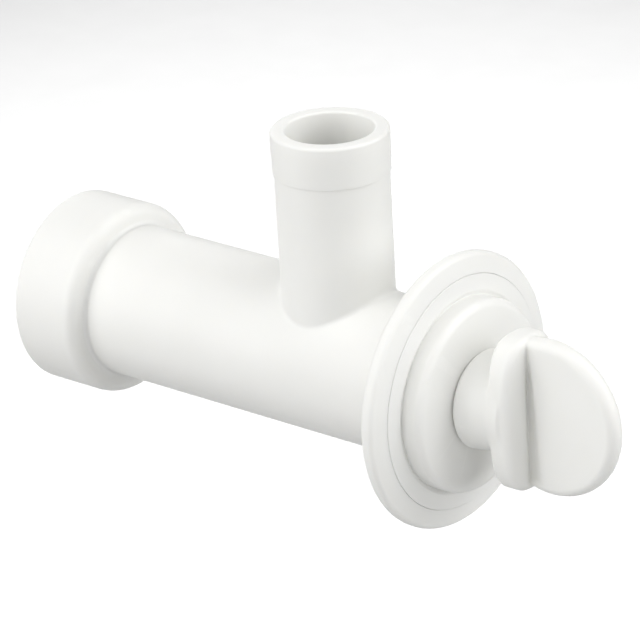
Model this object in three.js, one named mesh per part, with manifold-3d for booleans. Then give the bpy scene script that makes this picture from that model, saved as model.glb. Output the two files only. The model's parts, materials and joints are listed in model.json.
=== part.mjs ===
// Thru hull fitting with a quarter-turn shut-off knob, in millimetres.
// +X is the tube axis and points outboard, +Z is the hose branch, and the origin
// is on the tube axis in the plane where the flange seats on the hull.
import * as THREE from 'three';
import { mergeVertices } from 'three/addons/utils/BufferGeometryUtils.js';
import Module from 'manifold-3d';

const wasm = await Module();
wasm.setup();

// Driving sizes
const FLANGE_RADIUS = 23.8;
const FLANGE_THICKNESS = 3.05; // at the cover plate; the front falls away to the rim
const RIM_THICKNESS = 2.3;
const TUBE_RADIUS = 13.4;
const TUBE_BORE = 11.2;
const BRANCH_X = -23.05;
const BRANCH_RADIUS = 9.72;
const BRANCH_BORE = 7.55;
const BRANCH_TOP = 41.8;
const LIP_RADIUS = 10.05;
const LIP_STEP = 34.3;
const LIP_ROUND = 0.6;
const COLLAR_RADIUS = 17.05;
const COLLAR_FRONT = -70.2;
const COLLAR_REAR = -83.5;
const BOSS_RADIUS = 16.65;
const BOSS_FACE = 6.8;
const HUB_RADIUS = 8.7;
const HUB_NECK = 7.8; // radius where the hub runs into the bar
const BAR_HALF_HEIGHT = 13.7;
const BAR_HALF_WIDTH = 7.2;
const BAR_REAR = 13.2;
const BAR_FRONT = 17.6;
const BAR_EXPONENT = 3; // of the bar's superelliptic outline
const WING_RADIUS = 13.8;
const WING_CENTRE = 21.25;
const WING_THICKNESS = 3.6;
const WASHER_OUTER = 7.0; // thrust washer between boss and hub
const WASHER_INNER = 5.0;
const GASKET_INNER = 20.8; // ring seal behind the flange
const GASKET_OUTER = 22.0;
const GAP = 0.3; // clearance between neighbouring pieces

// Sizes that follow from them
const PLATE_RADIUS = 0.85 * FLANGE_RADIUS;
const PLATE_RIM = FLANGE_THICKNESS + 0.1;
const PLATE_FACE = PLATE_RIM + 0.35; // at the foot of the boss
const RECESS_FLOOR = FLANGE_THICKNESS - 1.0;
const SLEEVE_RADIUS = TUBE_BORE - GAP;
const SLEEVE_BORE = SLEEVE_RADIUS - 2.0;
const SLEEVE_END = -10.0;
const SPIGOT_RADIUS = SLEEVE_BORE - GAP;
const SPIGOT_END = -10.6;
const TUBE_SEAT = 0.5; // depth of the flange's shallow pocket for the tube end
const TUBE_FRONT = TUBE_SEAT - GAP;
const TUBE_REAR = COLLAR_FRONT - 6.4;
const COLLAR_STOP = TUBE_REAR - GAP; // shoulder between tube socket and pipe socket
const COLLAR_STOP_REAR = COLLAR_STOP - 1.4;
const COLLAR_GROOVE = (COLLAR_REAR + COLLAR_STOP_REAR) / 2;
const PIPE_SOCKET = TUBE_RADIUS + 0.2;
const SLEEVE_GROOVE = SLEEVE_END + 2.5;
const COVER_GROOVE = -2.05;
const STEM_RADIUS = 4.6;
const STEM_BORE = STEM_RADIUS + 0.15;
const SQUARE_FLAT = 6.6; // stem drive, across flats
const SOCKET_FLAT = SQUARE_FLAT + 2 * GAP;
const STEM_FRONT = 11.3;
const ROTOR_RADIUS = TUBE_BORE - GAP;
const ROTOR_BORE = ROTOR_RADIUS - 2.0;
const ROTOR_FRONT = SPIGOT_END - GAP;
const ROTOR_WEB = ROTOR_FRONT - 3.2;
const ROTOR_REAR = -38.5;
const PORT_RADIUS = 6.6;
const SEAT_RADIUS = 8.4;
const SEAT_TOP = 12.1;
const HUB_REAR = BOSS_FACE + GAP;
const SCREW_RADIUS = 1.5;
const SCREW_HOLE = SCREW_RADIUS + GAP;
const SCREW_TIP = 16.4;
const PIN_RADIUS = 0.8;
const PIN_ORBIT = 6.75;
const PIN_ANGLE = 0.75 * Math.PI; // at rest; shut, it is a quarter turn less
const STEM_GROOVES = [2.2, -5.6];
const ROTOR_GROOVES = [ROTOR_FRONT - 1.6, ROTOR_REAR + 1.8];
const FINE = 40; // facets on large rounds
const COARSE = 24; // facets on seal rings and small rounds

// Materials
const material = (color, roughness, metalness = 0) =>
  new THREE.MeshStandardMaterial({ color, roughness, metalness });
const plastic = () => material(0xf2f2ec, 0.35);
const innerPlastic = () => material(0xe4e4dd, 0.5);
const rubber = () => material(0x1c1c1c, 0.8);
const steel = () => material(0xb9bcc0, 0.3, 1);

// A closed mesh geometry as a solid, with shared vertices merged and flat triangles dropped.
function solid(geometry) {
  geometry.deleteAttribute('normal');
  geometry.deleteAttribute('uv');
  const merged = mergeVertices(geometry, 1e-4);
  const index = merged.index.array;
  const kept = [];
  for (let i = 0; i < index.length; i += 3) {
    const corners = [index[i], index[i + 1], index[i + 2]];
    if (new Set(corners).size === 3) {
      kept.push(...corners);
    }
  }
  const vertProperties = new Float32Array(merged.attributes.position.array);
  const triVerts = new Uint32Array(kept);
  return new wasm.Manifold(new wasm.Mesh({ numProp: 3, vertProperties, triVerts }));
}

function part(name, body, look) {
  const { numProp, vertProperties, triVerts } = body.getMesh();
  const positions = new Float32Array((vertProperties.length / numProp) * 3);
  for (let i = 0; i < positions.length / 3; i += 1) {
    positions.set(vertProperties.subarray(i * numProp, i * numProp + 3), i * 3);
  }
  const geometry = new THREE.BufferGeometry();
  geometry.setAttribute('position', new THREE.BufferAttribute(positions, 3));
  geometry.setIndex(new THREE.BufferAttribute(new Uint32Array(triVerts), 1));
  geometry.computeVertexNormals();
  const mesh = new THREE.Mesh(geometry, look);
  mesh.name = name;
  return mesh;
}

// Points of a quarter or other arc in a profile, as [radius, height] pairs.
function arc(centreRadius, centreHeight, radius, from, to, steps = 3) {
  return Array.from({ length: steps + 1 }, (_, i) => {
    const angle = THREE.MathUtils.degToRad(from + ((to - from) * i) / steps);
    return [centreRadius + radius * Math.cos(angle), centreHeight + radius * Math.sin(angle)];
  });
}

// A turned solid about the Y axis from [radius, height] points listed anticlockwise.
function lathe(profile, facets) {
  const points = profile.map(([radius, height]) => new THREE.Vector2(radius, height));
  const reachesAxis = profile.some(([radius]) => radius === 0);
  return new THREE.LatheGeometry(reachesAxis ? points : [...points, points[0].clone()], facets);
}

// The same, about the tube axis (heights run along +X) or upright (heights run along +Z).
const turned = (profile, facets = FINE) => solid(lathe(profile, facets).rotateZ(-Math.PI / 2));
const upright = (profile, facets = FINE) =>
  solid(lathe(profile, facets).rotateX(Math.PI / 2)).translate([BRANCH_X, 0, 0]);

// Profile of a plain ring, or of a disc where inner is 0.
const box = (inner, outer, low, high) => [[inner, low], [outer, low], [outer, high], [inner, high]];
const rod = (radius, low, high, facets) => turned(box(0, radius, low, high), facets);
const ring = (inner, outer, low, high, facets) => turned(box(inner, outer, low, high), facets);

// A seal ring whose section is a hexagon, round the tube axis at that x.
const oring = (centreRadius, sectionRadius, x) =>
  turned(arc(centreRadius, x, sectionRadius, 0, 300, 5), COARSE);

// A square bar along the tube axis.
function square(flat, low, high) {
  const geometry = new THREE.BoxGeometry(high - low, flat, flat);
  return solid(geometry.translate((low + high) / 2, 0, 0));
}

// A flat outline in the plane across the tube, (u, v) = (y, z), extruded along +X from x = low.
function across(outline, low, depth, options = {}) {
  const geometry = new THREE.ExtrudeGeometry(outline, { depth, bevelEnabled: false, ...options });
  const turn = new THREE.Matrix4().makeBasis(
    new THREE.Vector3(0, 1, 0),
    new THREE.Vector3(0, 0, 1),
    new THREE.Vector3(1, 0, 0),
  );
  return solid(geometry.applyMatrix4(turn).translate(low, 0, 0));
}

// Main tube and hose branch, with the counterbore that holds the port seat.
function teeBody() {
  const tube = rod(TUBE_RADIUS, TUBE_REAR, TUBE_FRONT);
  const bore = rod(TUBE_BORE, TUBE_REAR - 1, TUBE_FRONT + 1);
  const mouthChamfer = 0.6;
  const mouthRadius = BRANCH_BORE + mouthChamfer;
  const branch = upright([
    [0, 0],
    [BRANCH_RADIUS, 0],
    [BRANCH_RADIUS, LIP_STEP],
    [LIP_RADIUS - 0.1, LIP_STEP],
    [LIP_RADIUS, BRANCH_TOP - 2.6],
    ...arc(LIP_RADIUS - LIP_ROUND, BRANCH_TOP - LIP_ROUND, LIP_ROUND, 0, 90),
    [0, BRANCH_TOP],
  ]);
  const branchBore = upright([
    [0, 0],
    [BRANCH_BORE, 0],
    [BRANCH_BORE, BRANCH_TOP - mouthChamfer],
    [mouthRadius, BRANCH_TOP],
    [mouthRadius, BRANCH_TOP + 1],
    [0, BRANCH_TOP + 1],
  ]);
  const seatPocket = upright(box(0, SEAT_RADIUS + GAP, 0, SEAT_TOP + GAP));
  return tube.add(branch).subtract(bore).subtract(branchBore).subtract(seatPocket);
}

// Pipe socket on the inboard end: its front half holds the tube, its rear half takes the pipe.
function rearCollar() {
  const tubeSocket = TUBE_RADIUS + GAP;
  const grooveFloor = PIPE_SOCKET + 1.2;
  const halfGroove = 0.8;
  const rearRound = 0.6;
  const frontRound = 2.0;
  return turned([
    [PIPE_SOCKET, COLLAR_REAR],
    ...arc(COLLAR_RADIUS - rearRound, COLLAR_REAR + rearRound, rearRound, -90, 0),
    ...arc(COLLAR_RADIUS - frontRound, COLLAR_FRONT - frontRound, frontRound, 0, 90),
    [tubeSocket, COLLAR_FRONT],
    [tubeSocket, COLLAR_STOP],
    [TUBE_BORE, COLLAR_STOP],
    [TUBE_BORE, COLLAR_STOP_REAR],
    [PIPE_SOCKET, COLLAR_STOP_REAR],
    [PIPE_SOCKET, COLLAR_GROOVE + halfGroove],
    [grooveFloor, COLLAR_GROOVE + halfGroove],
    [grooveFloor, COLLAR_GROOVE - halfGroove],
    [PIPE_SOCKET, COLLAR_GROOVE - halfGroove],
  ]);
}

// Flange with a sloping front and a rounded rim. Its hull side has a gasket groove and a
// shallow pocket for the tube end, its outboard side a shallow seat for the cover plate,
// and its sleeve goes into the tube mouth.
function hullFlange() {
  const rim = 0.9;
  const seatRadius = PLATE_RADIUS + GAP;
  const fall = FLANGE_THICKNESS - RIM_THICKNESS;
  const slope = THREE.MathUtils.radToDeg(Math.atan(fall / (FLANGE_RADIUS - rim - seatRadius)));
  const sealFloor = SLEEVE_RADIUS - 1.0;
  const halfGroove = 0.7;
  const gasketDepth = 1.0;
  return turned([
    [SLEEVE_BORE, SLEEVE_END],
    [SLEEVE_RADIUS, SLEEVE_END],
    [SLEEVE_RADIUS, SLEEVE_GROOVE - halfGroove],
    [sealFloor, SLEEVE_GROOVE - halfGroove],
    [sealFloor, SLEEVE_GROOVE + halfGroove],
    [SLEEVE_RADIUS, SLEEVE_GROOVE + halfGroove],
    [SLEEVE_RADIUS, TUBE_SEAT],
    [TUBE_RADIUS + GAP, TUBE_SEAT],
    [TUBE_RADIUS + GAP, 0],
    [GASKET_INNER - GAP, 0],
    [GASKET_INNER - GAP, gasketDepth],
    [GASKET_OUTER + GAP, gasketDepth],
    [GASKET_OUTER + GAP, 0],
    ...arc(FLANGE_RADIUS - rim, rim, rim, -90, 0),
    ...arc(FLANGE_RADIUS - rim, RIM_THICKNESS - rim, rim, 0, 90 - slope),
    [seatRadius, FLANGE_THICKNESS],
    [seatRadius, RECESS_FLOOR],
    [SLEEVE_BORE, RECESS_FLOOR],
  ]);
}

// Cover plate, boss and spigot: it carries the stem and closes the outboard end. The plate
// carries on the flange's slope, and the boss is cored out behind, so that its walls are
// about as thick as the rest.
function cover() {
  const back = RECESS_FLOOR + GAP;
  const wall = 1.8;
  const coreInner = 10.6;
  const coreOuter = BOSS_RADIUS - wall;
  const coreFloor = BOSS_FACE - wall;
  const sealFloor = SPIGOT_RADIUS - 0.9;
  const halfGroove = 0.65;
  const plateEdge = 0.2;
  const bossRound = 1.4;
  const washerFloor = BOSS_FACE - 1.4;
  const body = turned([
    [STEM_BORE, SPIGOT_END],
    [SPIGOT_RADIUS, SPIGOT_END],
    [SPIGOT_RADIUS, COVER_GROOVE - halfGroove],
    [sealFloor, COVER_GROOVE - halfGroove],
    [sealFloor, COVER_GROOVE + halfGroove],
    [SPIGOT_RADIUS, COVER_GROOVE + halfGroove],
    [SPIGOT_RADIUS, back],
    [coreInner, back],
    [coreInner, coreFloor],
    [coreOuter, coreFloor],
    [coreOuter, back],
    [PLATE_RADIUS, back],
    [PLATE_RADIUS, PLATE_RIM - plateEdge],
    [PLATE_RADIUS - plateEdge, PLATE_RIM],
    [BOSS_RADIUS, PLATE_FACE],
    ...arc(BOSS_RADIUS - bossRound, BOSS_FACE - bossRound, bossRound, 0, 90),
    [WASHER_OUTER + GAP, BOSS_FACE],
    [WASHER_OUTER + GAP, washerFloor],
    [STEM_BORE, washerFloor],
  ]);
  return body.subtract(stopSlot());
}

// Arc slot in the spigot's end that lets the stop pin travel a quarter turn.
function stopSlot() {
  const reach = Math.asin((PIN_RADIUS + GAP) / PIN_ORBIT);
  const halfWidth = PIN_RADIUS + 0.25;
  const start = PIN_ANGLE - Math.PI / 2 - reach;
  const end = PIN_ANGLE + reach;
  const outline = new THREE.Shape();
  outline.absarc(0, 0, PIN_ORBIT + halfWidth, start, end, false);
  outline.absarc(0, 0, PIN_ORBIT - halfWidth, end, start, true);
  return across(outline, SPIGOT_END - 1, 4.0, { curveSegments: 12 });
}

const pinCentre = () => [PIN_ORBIT * Math.cos(PIN_ANGLE), PIN_ORBIT * Math.sin(PIN_ANGLE)];
const stopPin = () =>
  rod(PIN_RADIUS, ROTOR_FRONT - 2.4, SPIGOT_END + 2.4, 16).translate([0, ...pinCentre()]);

// Knob: tapered hub, superelliptic bar plate and a round wing with a round rim. The wing
// is a disc cut off by the bar, which leaves its D shape.
function knob() {
  const hubFront = BAR_REAR + 3.0;
  const hub = turned([
    [0, HUB_REAR],
    ...arc(HUB_RADIUS - 0.8, HUB_REAR + 0.8, 0.8, -90, 0),
    [HUB_NECK, BAR_REAR],
    [HUB_NECK, hubFront - 0.8],
    [HUB_NECK - 0.8, hubFront],
    [0, hubFront],
  ]);
  return hub
    .add(knobBar())
    .add(knobWing())
    .subtract(square(SOCKET_FLAT, HUB_REAR - 1, STEM_FRONT + GAP))
    .subtract(rod(SCREW_HOLE, STEM_FRONT, SCREW_TIP + GAP, COARSE));
}

function knobBar() {
  const bevel = 1.2;
  const round = (value) => Math.sign(value) * Math.abs(value) ** (2 / BAR_EXPONENT);
  const outline = new THREE.Shape(Array.from({ length: FINE }, (_, i) => {
    const angle = (i / FINE) * 2 * Math.PI;
    return new THREE.Vector2(
      (BAR_HALF_WIDTH - bevel) * round(Math.cos(angle)),
      (BAR_HALF_HEIGHT - bevel) * round(Math.sin(angle)),
    );
  }));
  const depth = BAR_FRONT - BAR_REAR - 2 * bevel;
  return across(outline, BAR_REAR + bevel, depth, {
    bevelEnabled: true,
    bevelSize: bevel,
    bevelThickness: bevel,
    bevelSegments: 3,
  });
}

function knobWing() {
  const bevel = 1.5;
  const radius = WING_RADIUS - bevel;
  const root = BAR_REAR + 2 * bevel;
  const halfAngle = THREE.MathUtils.radToDeg(Math.acos((root - WING_CENTRE) / radius));
  const points = arc(WING_CENTRE, 0, radius, -halfAngle, halfAngle, FINE);
  const outline = new THREE.Shape(points.map(([x, z]) => new THREE.Vector2(x, z)));
  const depth = WING_THICKNESS - 2 * bevel;
  const geometry = new THREE.ExtrudeGeometry(outline, {
    depth,
    bevelEnabled: true,
    bevelSize: bevel,
    bevelThickness: bevel,
    bevelSegments: 3,
  });
  return solid(geometry.translate(0, 0, -depth / 2).rotateX(Math.PI / 2));
}

// Stem with a square drive at each end, two O-ring grooves and a hole for the screw.
function stem() {
  const front = HUB_REAR - 0.4;
  const halfGroove = 0.65;
  let body = rod(STEM_RADIUS, ROTOR_FRONT, front)
    .add(squareEnd(front - 1, STEM_FRONT))
    .add(squareEnd(ROTOR_WEB + 0.2, ROTOR_FRONT + 1));
  STEM_GROOVES.forEach((x) => {
    const groove = ring(STEM_RADIUS - 0.8, STEM_RADIUS + 1, x - halfGroove, x + halfGroove);
    body = body.subtract(groove);
  });
  return body.subtract(rod(SCREW_HOLE, ROTOR_WEB - 1, STEM_FRONT + 1, COARSE));
}

// A square drive with its corners turned down to the stem's radius.
const squareEnd = (low, high) =>
  square(SQUARE_FLAT, low, high).intersect(rod(STEM_RADIUS, low - 1, high + 1));

// Hollow barrel plug: closed by a web in front, open to the rear, one port to the branch.
function rotor() {
  const halfGroove = 0.7;
  let body = turned([
    [0, ROTOR_WEB],
    [ROTOR_BORE, ROTOR_WEB],
    [ROTOR_BORE, ROTOR_REAR],
    [ROTOR_RADIUS, ROTOR_REAR],
    [ROTOR_RADIUS, ROTOR_FRONT],
    [0, ROTOR_FRONT],
  ]);
  ROTOR_GROOVES.forEach((x) => {
    const groove = ring(ROTOR_RADIUS - 0.9, ROTOR_RADIUS + 1, x - halfGroove, x + halfGroove);
    body = body.subtract(groove);
  });
  const pinHole = rod(PIN_RADIUS + 0.2, ROTOR_FRONT - 2.6, ROTOR_FRONT + 1, 16);
  return body
    .subtract(square(SOCKET_FLAT, ROTOR_WEB - 1, ROTOR_FRONT + 1))
    .subtract(pinHole.translate([0, ...pinCentre()]))
    .subtract(upright(box(0, PORT_RADIUS, 0, TUBE_RADIUS)));
}

// Seal ring round the branch port; its inner end follows the round bore of the tube.
function portSeat() {
  const sleeve = upright(box(BRANCH_BORE + 0.1, SEAT_RADIUS, 1, SEAT_TOP));
  return sleeve.subtract(rod(ROTOR_RADIUS + 0.15, BRANCH_X - 20, BRANCH_X + 20));
}

// Screw from inside the rotor through the stem into the knob, with a cross recess.
function retainingScrew() {
  const headFront = ROTOR_WEB - 1.4;
  const headRear = headFront - 2.0;
  const headRadius = 2.8;
  const headRound = 1.1;
  const arm = { depth: 2.0, length: 3.6, width: 0.8 };
  const slot = new THREE.BoxGeometry(arm.depth, arm.length, arm.width);
  const crossSlot = new THREE.BoxGeometry(arm.depth, arm.width, arm.length);
  return turned([
    [0, headRear],
    [headRadius - headRound, headRear],
    ...arc(headRadius - headRound, headRear + headRound, headRound, -60, 0),
    [headRadius, headFront],
    [SCREW_RADIUS, headFront],
    [SCREW_RADIUS, SCREW_TIP - 1],
    [SCREW_RADIUS - 0.6, SCREW_TIP],
    [0, SCREW_TIP],
  ], COARSE)
    .subtract(solid(slot.translate(headRear, 0, 0)))
    .subtract(solid(crossSlot.translate(headRear, 0, 0)));
}

const thrustWasher = () => ring(WASHER_INNER, WASHER_OUTER, BOSS_FACE - 1.1, BOSS_FACE - 0.1);
const screwWasher = () => ring(SCREW_HOLE, 6.2, ROTOR_WEB - 1.1, ROTOR_WEB - 0.3);

// Seal rings sunk a little below the surface that they sit in.
const stemOring = (x) => oring(STEM_RADIUS - 0.33, 0.42, x);
const rotorOring = (x) => oring(ROTOR_RADIUS - 0.33, 0.45, x);

const fitting = new THREE.Group();
fitting.add(
  part('tee_body', teeBody(), plastic()),
  part('rear_collar', rearCollar(), plastic()),
  part('hull_flange', hullFlange(), plastic()),
  part('cover', cover(), plastic()),
  part('knob', knob(), plastic()),
  part('stem', stem(), innerPlastic()),
  part('rotor', rotor(), innerPlastic()),
  part('port_seat', portSeat(), rubber()),
  part('stem_oring_outer', stemOring(STEM_GROOVES[0]), rubber()),
  part('stem_oring_inner', stemOring(STEM_GROOVES[1]), rubber()),
  part('rotor_oring_front', rotorOring(ROTOR_GROOVES[0]), rubber()),
  part('rotor_oring_rear', rotorOring(ROTOR_GROOVES[1]), rubber()),
  part('cover_oring', oring(SPIGOT_RADIUS - 0.35, 0.45, COVER_GROOVE), rubber()),
  part('sleeve_oring', oring(SLEEVE_RADIUS - 0.4, 0.48, SLEEVE_GROOVE), rubber()),
  part('collar_oring', oring(TUBE_RADIUS + 0.75, 0.55, COLLAR_GROOVE), rubber()),
  part('hull_gasket', ring(GASKET_INNER, GASKET_OUTER, 0.05, 0.75), rubber()),
  part('thrust_washer', thrustWasher(), innerPlastic()),
  part('stop_pin', stopPin(), steel()),
  part('screw_washer', screwWasher(), steel()),
  part('retaining_screw', retainingScrew(), steel()),
);

export default fitting;
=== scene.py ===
"""Looks for a thru hull fitting with a quarter-turn shut-off knob.

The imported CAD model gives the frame: +X is the tube axis and points outboard, +Z is the
hose branch, and the origin is where the flange seats on the hull. Every CAD piece is
replaced by a fine mesh in the same place, with rounded edges and a procedural material.
"""
import json
import math

import bmesh
import bpy
import numpy as np
from mathutils import Matrix, Vector


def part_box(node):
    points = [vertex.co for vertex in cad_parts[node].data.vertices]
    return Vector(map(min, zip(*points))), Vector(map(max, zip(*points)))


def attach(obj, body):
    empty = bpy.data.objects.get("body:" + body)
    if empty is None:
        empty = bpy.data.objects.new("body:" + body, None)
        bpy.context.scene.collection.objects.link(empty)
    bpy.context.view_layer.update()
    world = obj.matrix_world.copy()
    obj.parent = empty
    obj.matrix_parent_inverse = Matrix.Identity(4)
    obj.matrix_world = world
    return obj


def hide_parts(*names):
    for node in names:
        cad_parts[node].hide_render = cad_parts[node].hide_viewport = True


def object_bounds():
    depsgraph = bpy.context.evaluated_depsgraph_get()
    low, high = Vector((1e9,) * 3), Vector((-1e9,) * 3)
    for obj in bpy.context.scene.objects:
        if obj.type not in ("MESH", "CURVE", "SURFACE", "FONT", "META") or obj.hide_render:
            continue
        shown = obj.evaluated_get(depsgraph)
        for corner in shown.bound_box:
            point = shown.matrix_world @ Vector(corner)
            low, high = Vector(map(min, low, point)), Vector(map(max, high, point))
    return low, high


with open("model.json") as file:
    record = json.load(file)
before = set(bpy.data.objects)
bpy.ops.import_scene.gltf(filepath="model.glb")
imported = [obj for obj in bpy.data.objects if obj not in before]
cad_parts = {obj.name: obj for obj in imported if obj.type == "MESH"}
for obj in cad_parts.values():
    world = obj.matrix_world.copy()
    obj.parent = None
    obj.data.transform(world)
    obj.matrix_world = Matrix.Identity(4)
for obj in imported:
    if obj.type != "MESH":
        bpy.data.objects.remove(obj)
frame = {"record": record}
cad_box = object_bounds()

MM = 0.001
SEGMENTS = 160          # facets round every large turned piece
SMALL_SEGMENTS = 96     # facets round seals, screws and pins
SHARP_ANGLE = math.radians(32)


# ---------------------------------------------------------------- sizes from the frame, in mm

def low(node):
    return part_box(node)[0] / MM


def high(node):
    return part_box(node)[1] / MM


def middle(node):
    return (low(node) + high(node)) / 2


MOUNTS = {mount["name"]: Vector(mount["pos_m"]) / MM for mount in frame["record"]["mounts"]}
GAP = 0.3                                   # clearance between neighbours in CAD
SEAM = 0.04                                 # gap that shows where two pieces meet

TUBE_RADIUS = -low("tee_body").z
TUBE_REAR = low("tee_body").x
TUBE_FRONT = high("tee_body").x
TUBE_BORE = high("rotor").z + GAP
BRANCH_X = MOUNTS["branch_mouth"].x
BRANCH_TOP = high("tee_body").z
BRANCH_RADIUS = 9.72
BRANCH_BORE = 7.55
LIP_RADIUS = 10.05
LIP_STEP = BRANCH_TOP - 7.5
SEAT_TOP = high("port_seat").z
SEAT_RADIUS = high("port_seat").y
COLLAR_RADIUS = high("rear_collar").z
COLLAR_REAR = low("rear_collar").x
COLLAR_FRONT = high("rear_collar").x
FLANGE_RADIUS = high("hull_flange").z
FLANGE_THICKNESS = high("hull_flange").x    # at the cover plate
RIM_THICKNESS = FLANGE_THICKNESS - 0.75
SLEEVE_END = low("hull_flange").x
SLEEVE_RADIUS = TUBE_BORE - GAP
SLEEVE_BORE = SLEEVE_RADIUS - 2.0
GASKET_OUTER = high("hull_gasket").z
GASKET_INNER = GASKET_OUTER - 1.2
PLATE_RADIUS = high("cover").z
BOSS_FACE = high("cover").x
BOSS_RADIUS = 16.65
SPIGOT_RADIUS = SLEEVE_BORE - GAP
SPIGOT_END = low("cover").x
PLATE_RIM = FLANGE_THICKNESS + 0.1
PLATE_FACE = PLATE_RIM + 0.35               # at the foot of the boss
RECESS_FLOOR = FLANGE_THICKNESS - 1.0
STEM_RADIUS = high("stem").z
STEM_FRONT = high("stem").x
STEM_REAR = low("stem").x
STEM_BORE = STEM_RADIUS + 0.15
SQUARE_FLAT = 6.6
SOCKET_FLAT = SQUARE_FLAT + 2 * GAP
ROTOR_RADIUS = high("rotor").z
ROTOR_FRONT = high("rotor").x
ROTOR_REAR = low("rotor").x
ROTOR_WEB = STEM_REAR - 0.2
ROTOR_BORE = ROTOR_RADIUS - 2.0
PORT_RADIUS = 6.6
WASHER_INNER = 5.0
SCREW_RADIUS = 1.5
SCREW_HOLE = SCREW_RADIUS + GAP
PIN_RADIUS = (high("stop_pin").y - low("stop_pin").y) / 2
PIN_CENTRE = middle("stop_pin")


# ---------------------------------------------------------------- outlines and turned meshes

def fillet(before, corner, after, radius, step=math.radians(9)):
    """Points of an arc that rounds a corner of an outline; a plain corner where radius is 0."""
    corner = Vector(corner)
    if radius == 0:
        return [corner]
    to_before = (Vector(before) - corner).normalized()
    to_after = (Vector(after) - corner).normalized()
    half = to_before.angle(to_after) / 2
    centre = corner + (to_before + to_after).normalized() * radius / math.sin(half)
    start = corner + to_before * radius / math.tan(half) - centre
    end = corner + to_after * radius / math.tan(half) - centre
    steps = max(2, math.ceil(start.angle(end) / step))
    return [centre + start.slerp(end, i / steps) * radius for i in range(steps + 1)]


def rounded(corners):
    """A closed outline from (radius, height, fillet radius) corners."""
    points = [(r, h) for r, h, _ in corners]
    outline = []
    for i, (r, h, size) in enumerate(corners):
        outline += fillet(points[i - 1], (r, h), points[(i + 1) % len(points)], size)
    return held(outline)


def held(outline, hold=0.12):
    """The same closed outline with points close to both ends of each long straight, so that
    the shading of a rounded edge doesn't run out over the flat beside it."""
    result = []
    for point, following in zip(outline, outline[1:] + outline[:1]):
        result.append(point)
        run = following - point
        if run.length > 5 * hold:
            result.append(point + run.normalized() * hold)
            result.append(following - run.normalized() * hold)
    return result


def along_tube(radius, height, angle):
    """A point at that radius and angle from +Z round the tube axis, at x = height."""
    return Vector((height, radius * math.sin(angle), radius * math.cos(angle)))


def along_branch(radius, height, angle):
    """A point at that radius and angle from +X round the branch axis, at z = height."""
    return Vector((BRANCH_X + radius * math.cos(angle), radius * math.sin(angle), height))


def turn(bm, outline, place, segments):
    """Sweeps a closed (radius, height) outline round an axis. A point at radius 0 is a pole."""
    rings = []
    for r, h in outline:
        if r < 1e-6:
            rings.append([bm.verts.new(place(0, h, 0))] * segments)
        else:
            rings.append([
                bm.verts.new(place(r, h, 2 * math.pi * i / segments)) for i in range(segments)
            ])
    for ring, following in zip(rings, rings[1:] + rings[:1]):
        bridge(bm, ring, following)
    return rings


def bridge(bm, ring, following):
    """Faces between two rings of as many points, triangles where one of them is a pole."""
    count = len(ring)
    for i in range(count):
        j = (i + 1) % count
        corners = list(dict.fromkeys((ring[i], ring[j], following[j], following[i])))
        if len(corners) > 2:
            bm.faces.new(corners)


def finished(name, bm, sharp=SHARP_ANGLE):
    """A linked object from a mesh in millimetres, smooth except at its sharp edges."""
    bmesh.ops.remove_doubles(bm, verts=bm.verts, dist=1e-5)
    bmesh.ops.recalc_face_normals(bm, faces=bm.faces)
    bmesh.ops.scale(bm, vec=(MM, MM, MM), verts=bm.verts)
    mesh = bpy.data.meshes.new(name)
    bm.to_mesh(mesh)
    bm.free()
    mesh.shade_smooth()
    mesh.set_sharp_from_angle(angle=sharp)
    piece = bpy.data.objects.new(name, mesh)
    bpy.context.scene.collection.objects.link(piece)
    return piece


def turned(name, outline, place=along_tube, segments=SEGMENTS):
    bm = bmesh.new()
    turn(bm, outline, place, segments)
    return finished(name, bm)


def cut(piece, *tools, operation="DIFFERENCE"):
    """Cuts or joins tool meshes into a piece, then removes the tools."""
    for tool in tools:
        modifier = piece.modifiers.new("cut", "BOOLEAN")
        modifier.operation = operation
        modifier.solver = "EXACT"
        modifier.object = tool
    graph = bpy.context.evaluated_depsgraph_get()
    mesh = bpy.data.meshes.new_from_object(piece.evaluated_get(graph))
    mesh.shade_smooth()
    mesh.set_sharp_from_angle(angle=SHARP_ANGLE)
    piece.modifiers.clear()
    piece.data = mesh
    for tool in tools:
        bpy.data.objects.remove(tool)
    return piece


# ---------------------------------------------------------------- tee body

WINDOW_HALF = 14.0          # half length along X of the square patch round the branch root
WINDOW_STEPS = 48           # cells along that patch
WINDOW_SPAN = 27            # tube facets on each side of +Z that the patch covers
ROOT_FILLET = 1.0
ROOT_STEPS = 8


def pierced_wall(bm, rear_ring, front_ring, radius):
    """A tube wall between two rings with a window in it; returns the window's edge as
    (vertex, across, round) with across and round running from -1 to 1."""
    columns = [rear_ring]
    for step in range(WINDOW_STEPS + 1):
        x = BRANCH_X + WINDOW_HALF * (2 * step / WINDOW_STEPS - 1)
        column = []
        for i in range(SEGMENTS):
            offset = (i + SEGMENTS // 2) % SEGMENTS - SEGMENTS // 2
            inside = abs(offset) < WINDOW_SPAN and 0 < step < WINDOW_STEPS
            angle = 2 * math.pi * i / SEGMENTS
            column.append(None if inside else bm.verts.new(along_tube(radius, x, angle)))
        columns.append(column)
    columns.append(front_ring)
    for column, following in zip(columns, columns[1:]):
        for i in range(SEGMENTS):
            j = (i + 1) % SEGMENTS
            corners = (column[i], column[j], following[j], following[i])
            if None not in corners:
                bm.faces.new(corners)
    grid = columns[1:-1]
    rows = range(-WINDOW_SPAN, WINDOW_SPAN)
    steps = range(WINDOW_STEPS)
    path = [(WINDOW_STEPS, row) for row in rows]
    path += [(WINDOW_STEPS - step, WINDOW_SPAN) for step in steps]
    path += [(0, -row) for row in rows]
    path += [(step, -WINDOW_SPAN) for step in steps]
    return [
        (grid[step][row], 2 * step / WINDOW_STEPS - 1, row / WINDOW_SPAN) for step, row in path
    ]


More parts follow.
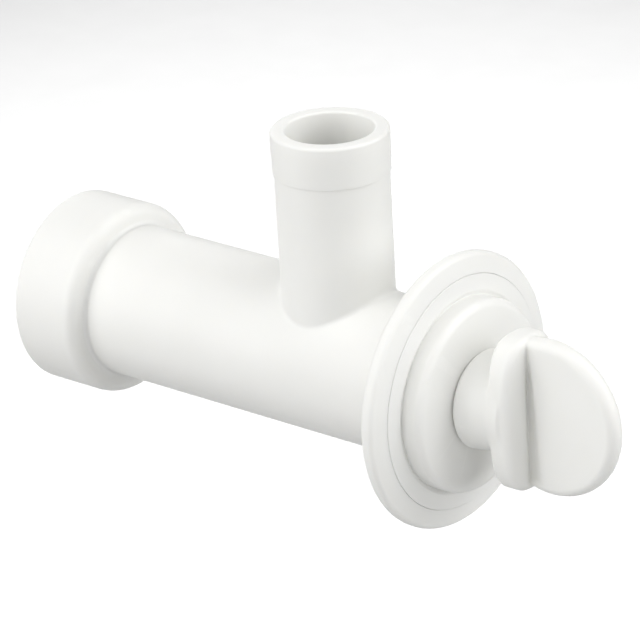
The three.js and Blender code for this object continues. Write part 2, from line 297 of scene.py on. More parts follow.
def root_patch(bm, edge, radius, contour, steps=6):
    """Closes a window down to a contour round the branch, along the tube wall. contour(angle)
    gives the (x, angle round the tube) of its point in that direction. Returns the ring."""
    ring = [vertex for vertex, _, _ in edge]
    span = 2 * math.pi * WINDOW_SPAN / SEGMENTS
    for step in range(1, steps + 1):
        share = step / steps
        following = []
        for _, across, round_ in edge:
            x_end, angle_end = contour(math.atan2(round_, across))
            x = BRANCH_X + WINDOW_HALF * across
            angle = span * round_
            following.append(bm.verts.new(along_tube(
                radius, x + (x_end - x) * share, angle + (angle_end - angle) * share
            )))
        bridge(bm, ring, following)
        ring = following
    return ring


def ring_on_branch(bm, edge, radius, height):
    return [
        bm.verts.new(along_branch(radius, height, math.atan2(round_, across)))
        for _, across, round_ in edge
    ]


def tee_body():
    """Tube and hose branch as one moulding, with a fillet at the branch root, a lip at its
    mouth, and a counterbore inside that holds the port seat."""
    bm = bmesh.new()
    ends = 0.4
    rear_inner, rear_outer, front_outer, front_inner = (
        fillet((TUBE_BORE, TUBE_FRONT), (TUBE_BORE, TUBE_REAR), (TUBE_RADIUS, TUBE_REAR), ends),
        fillet((TUBE_BORE, TUBE_REAR), (TUBE_RADIUS, TUBE_REAR), (TUBE_RADIUS, TUBE_FRONT), ends),
        fillet((TUBE_RADIUS, TUBE_REAR), (TUBE_RADIUS, TUBE_FRONT), (TUBE_BORE, TUBE_FRONT), ends),
        fillet((TUBE_RADIUS, TUBE_FRONT), (TUBE_BORE, TUBE_FRONT), (TUBE_BORE, TUBE_REAR), ends),
    )

    def rings(outline):
        made = [
            [bm.verts.new(along_tube(r, h, 2 * math.pi * i / SEGMENTS)) for i in range(SEGMENTS)]
            for r, h in outline
        ]
        for ring, following in zip(made, made[1:]):
            bridge(bm, ring, following)
        return made

    rear = rings(rear_inner + rear_outer)
    front = rings(front_outer + front_inner)
    outer_edge = pierced_wall(bm, rear[-1], front[0], TUBE_RADIUS)
    inner_edge = pierced_wall(bm, rear[0], front[-1], TUBE_BORE)

    ball_tube = TUBE_RADIUS + ROOT_FILLET
    ball_branch = BRANCH_RADIUS + ROOT_FILLET

    def ball_centre(angle):
        """Centre of the ball that rolls round the root and touches both walls."""
        y = ball_branch * math.sin(angle)
        height = math.sqrt(ball_tube ** 2 - y ** 2)
        return along_branch(ball_branch, height, angle)

    def outer_contour(angle):
        centre = ball_centre(angle)
        return centre.x, math.atan2(centre.y, centre.z)

    ring = root_patch(bm, outer_edge, TUBE_RADIUS, outer_contour)
    for step in range(1, ROOT_STEPS + 1):
        following = []
        for _, across, round_ in outer_edge:
            angle = math.atan2(round_, across)
            centre = ball_centre(angle)
            to_tube = Vector((0, -centre.y, -centre.z)).normalized()
            to_branch = Vector((-math.cos(angle), -math.sin(angle), 0))
            way = to_tube.slerp(to_branch, step / ROOT_STEPS)
            following.append(bm.verts.new(centre + way * ROOT_FILLET))
        bridge(bm, ring, following)
        ring = following

    pocket = SEAT_RADIUS + GAP
    ceiling = SEAT_TOP + GAP
    lip_round = 0.6
    corners = [
        (BRANCH_RADIUS, LIP_STEP - 8, 0),
        (BRANCH_RADIUS, LIP_STEP, 0.11),
        (LIP_RADIUS - 0.1, LIP_STEP, 0.1),
        (LIP_RADIUS, BRANCH_TOP - 2.6, 4.0),
        (LIP_RADIUS, BRANCH_TOP, lip_round),
        (BRANCH_BORE, BRANCH_TOP, 0.45),
        (BRANCH_BORE, ceiling, 0.1),
        (pocket, ceiling, 0.1),
        (pocket, ceiling - 1.0, 0),
    ]
    points = [(r, h) for r, h, _ in corners]
    outline = [Vector(points[0])]
    for before, (r, h, size), after in zip(points, corners[1:-1], points[2:]):
        outline += fillet(before, (r, h), after, size)
    for r, h in outline:
        following = ring_on_branch(bm, outer_edge, r, h)
        bridge(bm, ring, following)
        ring = following

    def inner_contour(angle):
        y = pocket * math.sin(angle)
        return BRANCH_X + pocket * math.cos(angle), math.asin(y / TUBE_BORE)

    bridge(bm, ring, root_patch(bm, inner_edge, TUBE_BORE, inner_contour))
    return finished("tee_body_fine", bm)


# ---------------------------------------------------------------- other housing pieces

def rear_collar():
    """Pipe socket with a soft front shoulder. The tube is welded into its front half, and a
    small bead of the weld rounds the corner between the two."""
    weld = TUBE_RADIUS + 0.01
    bead = 0.7
    pipe_socket = TUBE_RADIUS + 0.2
    stop = TUBE_REAR - GAP
    stop_rear = stop - 1.4
    groove = middle("collar_oring").x
    half_groove = 0.8
    groove_floor = pipe_socket + 1.2
    return turned("rear_collar_fine", rounded([
        (COLLAR_RADIUS, COLLAR_REAR, 0.6),
        (COLLAR_RADIUS, COLLAR_FRONT, 2.0),
        (weld + 0.02, COLLAR_FRONT, bead),
        (weld + 0.02, COLLAR_FRONT + bead + 0.05, 0),
        (weld, COLLAR_FRONT + bead + 0.05, 0),
        (weld, stop, 0.1),
        (TUBE_BORE, stop, 0.15),
        (TUBE_BORE, stop_rear, 0.15),
        (pipe_socket, stop_rear, 0.1),
        (pipe_socket, groove + half_groove, 0.1),
        (groove_floor, groove + half_groove, 0.1),
        (groove_floor, groove - half_groove, 0.1),
        (pipe_socket, groove - half_groove, 0.1),
        (pipe_socket, COLLAR_REAR, 0.4),
    ]))


def hull_flange():
    """Flange with a front that falls away to a rounded rim, a gasket groove behind, and the
    sleeve in the tube."""
    seal_rear = middle("sleeve_oring").x - 0.7
    seal_front = middle("sleeve_oring").x + 0.7
    seal_floor = SLEEVE_RADIUS - 1.0
    gasket_low = GASKET_INNER - GAP
    gasket_high = GASKET_OUTER + GAP
    gasket_depth = 1.0
    seat = 0.5
    pocket = TUBE_RADIUS + 0.05
    recess = PLATE_RADIUS + SEAM
    shoulder_in = 1.2               # where the slope of the front turns into the rim
    shoulder_rise = 0.25
    return turned("hull_flange_fine", rounded([
        (SLEEVE_BORE, SLEEVE_END, 0.3),
        (SLEEVE_RADIUS, SLEEVE_END, 0.5),
        (SLEEVE_RADIUS, seal_rear, 0.1),
        (seal_floor, seal_rear, 0.15),
        (seal_floor, seal_front, 0.15),
        (SLEEVE_RADIUS, seal_front, 0.1),
        (SLEEVE_RADIUS, seat, 0.1),
        (pocket, seat, 0.1),
        (pocket, 0, 0.15),
        (gasket_low, 0, 0.1),
        (gasket_low, gasket_depth, 0.15),
        (gasket_high, gasket_depth, 0.15),
        (gasket_high, 0, 0.1),
        (FLANGE_RADIUS, 0, 0.9),
        (FLANGE_RADIUS, RIM_THICKNESS, 1.0),
        (FLANGE_RADIUS - shoulder_in, RIM_THICKNESS + shoulder_rise, 3.0),
        (recess, FLANGE_THICKNESS, 0.05),
        (recess, RECESS_FLOOR, 0.1),
        (SLEEVE_BORE, RECESS_FLOOR, 0.1),
    ]))


def cover():
    """Cover plate, boss with a broad round rim and a shallow moat round its foot, and
    spigot."""
    back = RECESS_FLOOR + GAP
    groove = middle("cover_oring").x
    half_groove = 0.65
    groove_floor = SPIGOT_RADIUS - 0.9
    wall = 1.8
    core_in = 10.6
    core_out = BOSS_RADIUS - wall
    core_floor = BOSS_FACE - wall
    washer_seat = high("thrust_washer").z + GAP
    washer_floor = BOSS_FACE - 1.4
    moat_width = 0.8
    moat_depth = 0.45
    plate = turned("cover_fine", rounded([
        (STEM_BORE, SPIGOT_END, 0.2),
        (SPIGOT_RADIUS, SPIGOT_END, 0.5),
        (SPIGOT_RADIUS, groove - half_groove, 0.1),
        (groove_floor, groove - half_groove, 0.15),
        (groove_floor, groove + half_groove, 0.15),
        (SPIGOT_RADIUS, groove + half_groove, 0.1),
        (SPIGOT_RADIUS, back, 0.1),
        (core_in, back, 0.1),
        (core_in, core_floor, 0.3),
        (core_out, core_floor, 0.3),
        (core_out, back, 0.1),
        (PLATE_RADIUS, back, 0.1),
        (PLATE_RADIUS, PLATE_RIM, 0.15),
        (BOSS_RADIUS + moat_width, PLATE_FACE, 0.6),
        (BOSS_RADIUS, PLATE_FACE - moat_depth, 0.1),
        (BOSS_RADIUS, BOSS_FACE, 1.4),
        (washer_seat, BOSS_FACE, 0.15),
        (washer_seat, washer_floor, 0.1),
        (STEM_BORE, washer_floor, 0.15),
    ]))
    return cut(plate, stop_slot())


def stop_slot():
    """Cutter for the arc slot in which the stop pin travels a quarter turn."""
    orbit = math.hypot(PIN_CENTRE.y, PIN_CENTRE.z)
    half_width = PIN_RADIUS + 0.25
    at_rest = math.atan2(PIN_CENTRE.z, PIN_CENTRE.y)
    reach = math.asin((PIN_RADIUS + GAP) / orbit)
    start = at_rest - math.pi / 2 - reach
    sweep = math.pi / 2 + 2 * reach
    steps = 32
    arc = [start + sweep * i / steps for i in range(steps + 1)]
    outline = [(orbit + half_width, angle) for angle in arc]
    outline += [(orbit - half_width, angle) for angle in reversed(arc)]
    bm = bmesh.new()
    rings = [
        [bm.verts.new((x, r * math.cos(angle), r * math.sin(angle))) for r, angle in outline]
        for x in (SPIGOT_END - 1.0, SPIGOT_END + 3.0)
    ]
    bridge(bm, *rings)
    for ring in rings:
        bm.faces.new(ring)
    return finished("stop_slot_cutter", bm)


def port_seat():
    """Seal ring round the port. Its inner end is hollowed to the tube's round bore."""
    bm = bmesh.new()
    inner = BRANCH_BORE + 0.1
    saddle = ROTOR_RADIUS + 0.15
    outline = rounded([
        (inner, 0, 0), (SEAT_RADIUS, 0, 0), (SEAT_RADIUS, SEAT_TOP, 0.25), (inner, SEAT_TOP, 0.25)
    ])
    turn(bm, outline, along_branch, SEGMENTS)
    for vertex in bm.verts:
        if vertex.co.z < 1:
            vertex.co.z += math.sqrt(saddle ** 2 - vertex.co.y ** 2)
    return finished("port_seat_fine", bm)


# ---------------------------------------------------------------- valve pieces

def stem():
    """Stem with two O-ring grooves, a square drive at each end and a hole for the screw."""
    front = BOSS_FACE - 0.1
    outline = [(SCREW_HOLE, ROTOR_FRONT, 0), (STEM_RADIUS, ROTOR_FRONT, 0.15)]
    for node in ("stem_oring_inner", "stem_oring_outer"):
        outline += seal_groove(STEM_RADIUS, middle(node).x, depth=0.8, half_width=0.65)
    outline += [(STEM_RADIUS, front, 0.25), (SCREW_HOLE, front, 0)]
    shaft = turned("stem_fine", rounded(outline))
    ends = (
        square_drive(STEM_REAR, ROTOR_FRONT + 1.0),
        square_drive(front - 1.0, STEM_FRONT),
    )
    return cut(shaft, *ends, operation="UNION")


def seal_groove(radius, centre, depth, half_width):
    """Outline corners of a groove for a seal ring round a shaft."""
    return [
        (radius, centre - half_width, 0.08),
        (radius - depth, centre - half_width, 0.12),
        (radius - depth, centre + half_width, 0.12),
        (radius, centre + half_width, 0.08),
    ]


def square_drive(rear, front):
    """A square bar with rounded long edges and a hole for the screw."""
    steps = 64
    corner = STEM_RADIUS - 0.05
    angles = [2 * math.pi * i / steps for i in range(steps)]
    hole = [SCREW_HOLE] * steps
    outside = [square_radius(angle, SQUARE_FLAT / 2, corner) for angle in angles]
    bm = bmesh.new()
    inner_rear, inner_front, outer_rear, outer_front = (
        [bm.verts.new(along_tube(radius, x, angle)) for radius, angle in zip(radii, angles)]
        for radii in (hole, outside)
        for x in (rear, front)
    )
    bridge(bm, inner_rear, inner_front)
    bridge(bm, inner_front, outer_front)
    bridge(bm, outer_front, outer_rear)
    bridge(bm, outer_rear, inner_rear)
    return finished("square_cutter", bm)


def square_radius(angle, half, corner):
    """Distance from the axis to a square's edge in that direction, no further than corner."""
    return min(corner, half / max(abs(math.cos(angle)), abs(math.sin(angle))))


def rotor():
    """Hollow barrel plug: a web in front, open behind, with one port to the branch."""
    outline = [(ROTOR_BORE, ROTOR_REAR, 0.3), (ROTOR_RADIUS, ROTOR_REAR, 0.3)]
    for node in ("rotor_oring_rear", "rotor_oring_front"):
        outline += seal_groove(ROTOR_RADIUS, middle(node).x, depth=0.9, half_width=0.7)
    outline += [
        (ROTOR_RADIUS, ROTOR_FRONT, 0.3),
        (0, ROTOR_FRONT, 0),
        (0, ROTOR_WEB, 0),
        (ROTOR_BORE, ROTOR_WEB, 0.8),
    ]
    barrel = turned("rotor_fine", rounded(outline))
    port = turned(
        "port_cutter",
        [(0, 0), (PORT_RADIUS, 0), (PORT_RADIUS, TUBE_RADIUS), (0, TUBE_RADIUS)],
        along_branch,
        SMALL_SEGMENTS,
    )
    pin_hole = pin_rod("pin_hole_cutter", PIN_RADIUS + 0.2, ROTOR_FRONT - 2.6, ROTOR_FRONT + 1)
    return cut(barrel, port, square_socket(ROTOR_WEB - 1, ROTOR_FRONT + 1), pin_hole)


def square_socket(rear, front):
    """Cutter for the hole that the stem's square drive goes into."""
    half = SOCKET_FLAT / 2
    corners = ((-half, -half), (half, -half), (half, half), (-half, half))
    bm = bmesh.new()
    rings = [[bm.verts.new((x, y, z)) for y, z in corners] for x in (rear, front)]
    bridge(bm, *rings)
    for ring in rings:
        bm.faces.new(ring)
    return finished("socket_cutter", bm)


def pin_rod(name, radius, rear, front, edge=0.0):
    """A small rod on the stop pin's axis."""
    def place(r, h, angle):
        return along_tube(r, h, angle) + Vector((0, PIN_CENTRE.y, PIN_CENTRE.z))

    outline = rounded([(0, rear, 0), (radius, rear, edge), (radius, front, edge), (0, front, 0)])
    return turned(name, outline, place, 48)


def stop_pin():
    return pin_rod("stop_pin_fine", PIN_RADIUS, low("stop_pin").x, high("stop_pin").x, 0.2)


def oring(node):
    """A seal ring of round section in the place of a CAD ring, with a fine moulding line."""
    section = (high(node).x - low(node).x) / 2
    centre = high(node).z - section
    steps = 32
    flash = 0.02
    outline = []
    for i in range(steps):
        angle = 2 * math.pi * i / steps
        radius = section * (1 + flash * (i in (0, steps // 2)))
        outline.append((centre + radius * math.cos(angle), middle(node).x + radius * math.sin(angle)))
    return turned(node + "_fine", outline)


def washer(node, inner, edge):
    """A flat ring in the place of a CAD ring, with softened edges."""
    outer = high(node).z
    rear = low(node).x
    front = high(node).x
    return turned(node + "_fine", rounded([
        (inner, rear, edge), (outer, rear, edge), (outer, front, edge), (inner, front, edge)
    ]))


def retaining_screw():
    """Pan-head screw with a cross recess and a rolled thread."""
    rear = low("retaining_screw").x
    tip = high("retaining_screw").x
    head = high("retaining_screw").z
    seat = rear + 2.0
    outline = rounded([
        (0, rear, 0), (head - 0.15, rear, 1.0), (head, seat, 0.1), (SCREW_RADIUS, seat, 0.1),
        (SCREW_RADIUS, seat + 0.6, 0), (0, seat + 0.6, 0),
    ])
    screw = turned("retaining_screw_fine", outline, segments=SMALL_SEGMENTS)
    shank = screw_thread(seat + 0.3, tip)
    recess = [cross_slot(rear, turned_by) for turned_by in (0, math.pi / 2)]
    cut(screw, shank, operation="UNION")
    return cut(screw, *recess)


def screw_thread(rear, tip):
    """Threaded shank: a ridge that winds round the core and fades out at both ends."""
    core = SCREW_RADIUS - 0.22
    crest = SCREW_RADIUS
    pitch = 0.8
    steps = 48
    rows = round((tip - rear) / pitch * 10)
    bm = bmesh.new()
    rings = []
    for row in range(rows + 1):
        x = rear + (tip - rear) * row / rows
        fade = min(1.0, (x - rear) / 1.2, max(0.0, (tip - 0.6 - x) / 1.0))
        taper = min(1.0, 0.45 + (tip - x) / 1.2)
        ring = []
        for i in range(steps):
            angle = 2 * math.pi * i / steps
            phase = ((x - rear) / pitch - i / steps) % 1.0
            ridge = max(0.0, 1 - abs(phase - 0.5) / 0.35)
            radius = (core + (crest - core) * ridge * max(fade, 0.0)) * taper
            ring.append(bm.verts.new(along_tube(radius, x, angle)))
        rings.append(ring)
    for ring, following in zip(rings, rings[1:]):
        bridge(bm, ring, following)
    bm.faces.new(rings[0])
    bm.faces.new(rings[-1])
    return finished("thread_cutter", bm)


def cross_slot(rear, angle):
    """Cutter for one arm of the cross recess, narrowing towards its floor."""
    bm = bmesh.new()
    rings = []
    for x, length, width in ((rear - 0.5, 2.0, 0.5), (rear + 1.1, 1.0, 0.3)):
        rings.append([
            bm.verts.new((x, y, z))
            for y, z in ((-length, -width), (length, -width), (length, width), (-length, width))
        ])
    bridge(bm, *rings)
    for ring in rings:
        bm.faces.new(ring)
    bmesh.ops.rotate(bm, verts=bm.verts, cent=(0, 0, 0), matrix=Matrix.Rotation(angle, 3, "X"))
    return finished("cross_cutter", bm)


# ---------------------------------------------------------------- knob

KNOB_REAR = BOSS_FACE + 2 * SEAM
KNOB_TIP = high("knob").x
BAR_HALF_WIDTH = 7.2
BAR_HALF_HEIGHT = 13.7
BAR_REAR = 13.2
BAR_FRONT = 17.7
BAR_CROWN = 0.7             # how far the bar's front bulges between its long edges
BAR_EDGE = 1.3
BAR_EXPONENT = 3.0
WING_RADIUS = high("knob").z
WING_CENTRE = KNOB_TIP - WING_RADIUS
WING_HALF = 1.8
WING_EDGE = 1.7
VALLEY_DEPTH = 1.05         # of the hollow where the bar's front meets the wing
VALLEY_WIDTH = 1.3          # reach of that hollow across the bar
WAIST_WIDTH = 1.6           # and how far it goes up the wing, which is waisted there
HUB_RADIUS = high("knob").y
HUB_NECK = 7.8
HUB_FRONT = BAR_REAR + 2.6  # where the hub ends on the bar's sides
HUB_CHAMFER = 0.8           # at the boss
KNOB_STEP = 0.18            # grid step of the knob's surface


def slab(across, along, edge):
    """Distance to a plate from the distances to its outline and its faces, edges rounded."""
    across = across + edge
    along = along + edge
    outside = np.hypot(np.maximum(across, 0), np.maximum(along, 0))
    return outside + np.minimum(np.maximum(across, along), 0) - edge


def blend(first, second, reach):
    """Union of two distances with a fillet of about that reach where they meet."""
    mix = np.clip(0.5 + 0.5 * (second - first) / reach, 0, 1)
    return second + (first - second) * mix - reach * mix * (1 - mix)


def bar_distance(x, y, z):
    """Plate across the axis with a superelliptic outline and a crowned front that dips
    towards the wing."""
    power = BAR_EXPONENT
    u = np.abs(y) / BAR_HALF_WIDTH
    v = np.abs(z) / BAR_HALF_HEIGHT
    level = (u ** power + v ** power + 1e-9) ** (1 / power)
    slope = level ** (1 - power) * np.hypot(
        u ** (power - 1) / BAR_HALF_WIDTH, v ** (power - 1) / BAR_HALF_HEIGHT
    )
    beside_wing = (np.abs(y) - WING_HALF + VALLEY_DEPTH) / VALLEY_WIDTH
    valley = VALLEY_DEPTH * np.exp(-beside_wing ** 2) * valley_fade(z)
    front = BAR_FRONT + BAR_CROWN * (0.5 - u ** 2) - valley
    faces = np.maximum(BAR_REAR - x, x - front)
    return slab((level - 1) / slope, faces, BAR_EDGE)


def valley_fade(z):
    """1 along most of the valley and 0 at the bar's two ends, sooner at the top."""
    v = z / BAR_HALF_HEIGHT
    return np.clip(np.minimum(1.6 - 1.6 * v, 7 + 7 * v), 0, 1)


def wing_distance(x, y, z):
    """Round-rimmed disc in the plane of the axis, cut off inside the bar. It is waisted
    where it leaves the bar, further up at its lower end."""
    outline = np.hypot(x - WING_CENTRE, z) - WING_RADIUS
    waist = WAIST_WIDTH * (0.7 - 0.5 * z / BAR_HALF_HEIGHT)
    above_bar = np.maximum(x - BAR_FRONT, 0) / waist
    half = WING_HALF - VALLEY_DEPTH * np.exp(-above_bar ** 2) * valley_fade(z)
    disc = slab(outline, np.abs(y) - half, np.minimum(WING_EDGE, half - 0.1))
    return np.maximum(disc, BAR_REAR + 2.0 - x)


def hub_distance(x, y, z):
    """Slightly tapered hub from the boss to the bar, with its front on the bar's sides."""
    share = np.clip((x - KNOB_REAR) / (BAR_REAR - KNOB_REAR), 0, 1)
    wall = np.hypot(y, z) - (HUB_RADIUS + (HUB_NECK - HUB_RADIUS) * share)
    rear = KNOB_REAR - x
    chamfer = (wall + rear + HUB_CHAMFER) / math.sqrt(2)
    return np.maximum(slab(np.maximum(wall, chamfer), rear, 0.1), slab(wall, x - HUB_FRONT, 0.4))


def knob_distance(x, y, z):
    body = blend(hub_distance(x, y, z), bar_distance(x, y, z), 0.7)
    body = blend(body, wing_distance(x, y, z), 0.5)
    socket = np.maximum(np.maximum(np.abs(y), np.abs(z)) - SOCKET_FLAT / 2, x - STEM_FRONT - GAP)
    hole = np.maximum(np.hypot(y, z) - SCREW_HOLE, x - high("retaining_screw").x - GAP)
    return np.maximum(np.maximum(body, -socket), -hole)


def surface_net(distance, lowest, highest, step):
    """Vertices and quads of the surface distance == 0: one vertex in each grid cell that the
    surface crosses, moved onto it along the gradient."""
    axes = [np.arange(a - 2.5 * step, b + 3 * step, step) for a, b in zip(lowest, highest)]
    inside = distance(*np.meshgrid(*axes, indexing="ij")) < 0
    cell_index = {}
    quads = []
    for axis in range(3):
        order = [axis] + [other for other in range(3) if other != axis]
        along = np.moveaxis(inside, axis, 0)
        crossing = np.argwhere(along[1:] != along[:-1])
        leaving = along[:-1][tuple(crossing.T)]
        for (i, j, k), outward in zip(crossing.tolist(), leaving.tolist()):
            ring = []
            for dj, dk in ((0, 0), (-1, 0), (-1, -1), (0, -1)):
                cell = [0, 0, 0]
                for place, step_index in zip(order, (i, j + dj, k + dk)):
                    cell[place] = step_index
                ring.append(cell_index.setdefault(tuple(cell), len(cell_index)))
            quads.append(ring if outward == (axis != 1) else ring[::-1])
    cells = np.array(list(cell_index))
    points = np.stack([axes[a][cells[:, a]] + step / 2 for a in range(3)])
    for _ in range(4):
        value = distance(*points)
        gradient = np.stack([
            (distance(*(points + offset)) - distance(*(points - offset))) / 0.02
            for offset in 0.01 * np.eye(3)[:, :, None]
        ])
        points -= np.clip(value / np.maximum((gradient ** 2).sum(0), 0.25), -step, step) * gradient
    return points.T, quads


def knob():
    """Hub, bar and wing as one moulding, with small fillets where they meet."""
    lowest = Vector((KNOB_REAR, low("knob").y, low("knob").z))
    points, quads = surface_net(knob_distance, lowest, high("knob"), KNOB_STEP)
    bm = bmesh.new()
    vertices = [bm.verts.new(point) for point in points.tolist()]
    for quad in quads:
        bm.faces.new([vertices[i] for i in quad])
    return finished("knob_fine", bm, sharp=math.radians(50))


# ---------------------------------------------------------------- materials

def nodes_of(name):
    material = bpy.data.materials.new(name)
    material.use_nodes = True
    tree = material.node_tree
    return material, tree, tree.nodes["Principled BSDF"]


def noise(tree, scale, detail=3.0, stretch=(1, 1, 1)):
    """Noise in the piece's own coordinates, scale in cycles per metre."""
    place = tree.nodes.new("ShaderNodeTexCoord")
    mapping = tree.nodes.new("ShaderNodeMapping")
    mapping.inputs["Scale"].default_value = stretch
    texture = tree.nodes.new("ShaderNodeTexNoise")
    texture.inputs["Scale"].default_value = scale
    texture.inputs["Detail"].default_value = detail
    tree.links.new(place.outputs["Object"], mapping.inputs["Vector"])
    tree.links.new(mapping.outputs["Vector"], texture.inputs["Vector"])
    return texture.outputs["Fac"]


def ramp(tree, value, low_colour, high_colour, start=0.3, end=0.7):
    """A smooth change between two colours as value goes from start to end."""
    node = tree.nodes.new("ShaderNodeValToRGB")
    node.color_ramp.elements[0].position = start
    node.color_ramp.elements[0].color = (*low_colour, 1)
    node.color_ramp.elements[1].position = end
    node.color_ramp.elements[1].color = (*high_colour, 1)
    tree.links.new(value, node.inputs["Fac"])
    return node.outputs["Color"]


def mapped(tree, value, low_value, high_value, start=0.3, end=0.7):
    node = tree.nodes.new("ShaderNodeMapRange")
    node.inputs["From Min"].default_value = start
    node.inputs["From Max"].default_value = end
    node.inputs["To Min"].default_value = low_value
    node.inputs["To Max"].default_value = high_value
    tree.links.new(value, node.inputs["Value"])
    return node.outputs["Result"]


def mixed(tree, factor, first, second):
    node = tree.nodes.new("ShaderNodeMix")
    node.data_type = "RGBA"
    tree.links.new(factor, node.inputs["Factor"])
    tree.links.new(first, node.inputs["A"])
    tree.links.new(second, node.inputs["B"])
    return node.outputs["Result"]


def bumps(tree, shader, *layers):
    """Stacks (height, distance in metres) layers of bump into the shader's normal."""
    normal = None
    for height, distance in layers:
        bump = tree.nodes.new("ShaderNodeBump")
        bump.inputs["Distance"].default_value = distance
        tree.links.new(height, bump.inputs["Height"])
        if normal is not None:
            tree.links.new(normal, bump.inputs["Normal"])
        normal = bump.outputs["Normal"]
    tree.links.new(normal, shader.inputs["Normal"])


def worn_edges(tree):
    """1 on outside edges and 0 elsewhere."""
    geometry = tree.nodes.new("ShaderNodeNewGeometry")
    return mapped(tree, geometry.outputs["Pointiness"], 0.0, 1.0, 0.51, 0.56)


def moulded_plastic(name, light, dark, roughness, grain):
    """Injection-moulded plastic: faint mottling, a polished look on edges, fine grain."""
    material, tree, shader = nodes_of(name)
    broad = noise(tree, 60, 2)
    fine = noise(tree, 900, 4)
    body = ramp(tree, broad, dark, light)
    polished = ramp(tree, fine, light, tuple(min(1, c * 1.02) for c in light))
    tree.links.new(mixed(tree, worn_edges(tree), body, polished), shader.inputs["Base Color"])
    tree.links.new(mapped(tree, noise(tree, 260, 3), *roughness), shader.inputs["Roughness"])
    shader.inputs["IOR"].default_value = 1.49
    shader.inputs["Subsurface Weight"].default_value = 0.2
    shader.inputs["Subsurface Radius"].default_value = (1.0, 0.95, 0.85)
    shader.inputs["Subsurface Scale"].default_value = 1.5 * MM
    bumps(tree, shader, (noise(tree, 140, 1), 0.02 * MM), (fine, grain))
    return material


def seal_rubber():
    """Dark rubber with a bloom of dust and a fine leathery grain."""
    material, tree, shader = nodes_of("seal_rubber")
    bloom = noise(tree, 500, 5)
    tree.links.new(ramp(tree, bloom, (0.012, 0.012, 0.013), (0.03, 0.03, 0.031)),
                   shader.inputs["Base Color"])
    tree.links.new(mapped(tree, noise(tree, 900, 3), 0.5, 0.75), shader.inputs["Roughness"])
    shader.inputs["Sheen Weight"].default_value = 0.15
    bumps(tree, shader, (noise(tree, 2600, 3), 0.01 * MM))
    return material


def stainless():
    """Turned stainless steel: fine rings round the tube axis and slight tarnish."""
    material, tree, shader = nodes_of("stainless")
    rings = noise(tree, 1800, 2, stretch=(6, 0.3, 0.3))
    tree.links.new(ramp(tree, noise(tree, 300, 3), (0.56, 0.57, 0.58), (0.7, 0.7, 0.7)),
                   shader.inputs["Base Color"])
    tree.links.new(mapped(tree, rings, 0.22, 0.38), shader.inputs["Roughness"])
    shader.inputs["Metallic"].default_value = 1.0
    bumps(tree, shader, (rings, 0.004 * MM))
    return material


# ---------------------------------------------------------------- pieces on their bodies

def place_pieces():
    white = moulded_plastic(
        "white_plastic", (0.86, 0.86, 0.835), (0.84, 0.84, 0.815), (0.42, 0.5), 0.003 * MM
    )
    inner = moulded_plastic(
        "inner_plastic", (0.80, 0.80, 0.765), (0.76, 0.76, 0.725), (0.42, 0.52), 0.006 * MM
    )
    rubber = seal_rubber()
    steel = stainless()
    orings = [
        "stem_oring_outer", "stem_oring_inner", "rotor_oring_front", "rotor_oring_rear",
        "cover_oring", "sleeve_oring", "collar_oring",
    ]
    made = [
        (tee_body(), "tee_body", white),
        (rear_collar(), "rear_collar", white),
        (hull_flange(), "hull_flange", white),
        (cover(), "cover", white),
        (knob(), "knob", white),
        (stem(), "stem", inner),
        (rotor(), "rotor", inner),
        (port_seat(), "port_seat", rubber),
        (washer("hull_gasket", GASKET_INNER, 0.15), "hull_gasket", rubber),
        (washer("thrust_washer", WASHER_INNER, 0.15), "thrust_washer", inner),
        (washer("screw_washer", SCREW_HOLE, 0.12), "screw_washer", steel),
        (stop_pin(), "stop_pin", steel),
        (retaining_screw(), "retaining_screw", steel),
    ]
    made += [(oring(node), node, rubber) for node in orings]
    bodies = frame["record"]["behaviour"]["bodies"]
    for piece, node, material in made:
        piece.data.materials.clear()
        piece.data.materials.append(material)
        body = next(name for name, members in bodies.items() if node in members)
        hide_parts(node)
        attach(piece, body)


# ---------------------------------------------------------------- floor, light and camera

FLOOR_DROP = 500            # mm from the fitting down to the floor


def floor():
    """Pale floor well below the fitting, which hangs free as on a product sheet."""
    bm = bmesh.new()
    bmesh.ops.create_grid(bm, x_segments=24, y_segments=24, size=6000)
    bmesh.ops.translate(bm, verts=bm.verts, vec=(0, 0, -FLOOR_DROP))
    ground = finished("floor", bm)
    material, tree, shader = nodes_of("floor_paper")
    tree.links.new(ramp(tree, noise(tree, 40, 2), (0.50, 0.50, 0.50), (0.51, 0.51, 0.51)),
                   shader.inputs["Base Color"])
    shader.inputs["Roughness"].default_value = 0.9
    shader.inputs["Specular IOR Level"].default_value = 0.1
    ground.data.materials.append(material)


CAMERA_AZIMUTH = -49.17     # degrees from +X towards +Y
CAMERA_ELEVATION = 23.23


def direction(azimuth, elevation):
    """Unit vector towards that azimuth from +X towards +Y, and elevation, in degrees."""
    a = math.radians(azimuth)
    e = math.radians(elevation)
    return Vector((math.cos(e) * math.cos(a), math.cos(e) * math.sin(a), math.sin(e)))


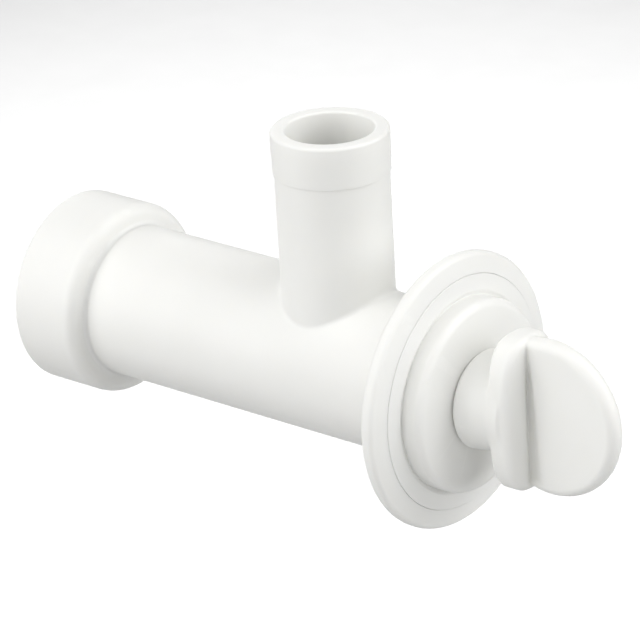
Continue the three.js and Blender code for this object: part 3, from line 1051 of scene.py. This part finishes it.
def softbox(name, place, aim, size, power, spread=180):
    """A square area light at a place, facing the place aim; all in metres, power in watts."""
    data = bpy.data.lights.new(name, "AREA")
    data.size = size
    data.energy = power
    data.spread = math.radians(spread)
    lamp = bpy.data.objects.new(name, data)
    bpy.context.scene.collection.objects.link(lamp)
    lamp.location = place
    lamp.rotation_euler = (aim - place).to_track_quat("-Z", "Y").to_euler()


def lights():
    """Softboxes all round, and one lamp over the floor that shows behind the fitting. The
    table gives azimuths from the camera's, elevations in degrees and powers in watts."""
    world = bpy.data.worlds.new("studio")
    bpy.context.scene.world = world
    world.use_nodes = True
    world.node_tree.nodes["Background"].inputs["Strength"].default_value = 0.6
    centre = (cad_box[0] + cad_box[1]) / 2
    boxes = (
        ("high_left", -90, 50, 7.0),
        ("high_front", -45, 50, 4.4),
        ("high_right", 90, 50, 11.0),
        ("side_left", -80, 15, 7.2),
        ("front_left", -40, 15, 5.7),
        ("front", 0, 15, 3.5),
        ("front_right", 40, 15, 4.7),
        ("side_right", 80, 15, 9.0),
        ("back_left", -160, 15, 5.0),
        ("back_right", 160, 15, 2.5),
    )
    distance = 1.5
    size = 1.0
    for name, aside, elevation, power in boxes:
        way = direction(CAMERA_AZIMUTH + aside, elevation)
        softbox(name, centre + way * distance, centre, size, power)
    spot = FLOOR_DROP * MM / math.tan(math.radians(CAMERA_ELEVATION))
    behind = centre - direction(CAMERA_AZIMUTH, 0) * 1.1 * spot
    softbox("floor_lamp", behind, behind - Vector((0, 0, 1)), 1.2, 6.6, spread=100)


def camera():
    """The photograph's view: from the knob end, 23 degrees above, with a slight roll."""
    aim = Vector((-18.4, -10.6, 11.9)) * MM
    roll = math.radians(-3.28)
    distance = 0.714
    back = direction(CAMERA_AZIMUTH, CAMERA_ELEVATION)
    data = bpy.data.cameras.new("camera")
    data.sensor_width = 36.0
    data.lens = 241.3
    data.clip_start = 0.05
    data.clip_end = 20
    eye = bpy.data.objects.new("camera", data)
    bpy.context.scene.collection.objects.link(eye)
    eye.location = aim + back * distance
    level = (-back).to_track_quat("-Z", "Y").to_matrix()
    eye.rotation_euler = (level @ Matrix.Rotation(roll, 3, "Z")).to_euler()
    bpy.context.scene.camera = eye


place_pieces()
floor()
lights()
camera()
bpy.context.scene.view_settings.view_transform = "Standard"
bpy.context.scene.view_settings.look = "None"
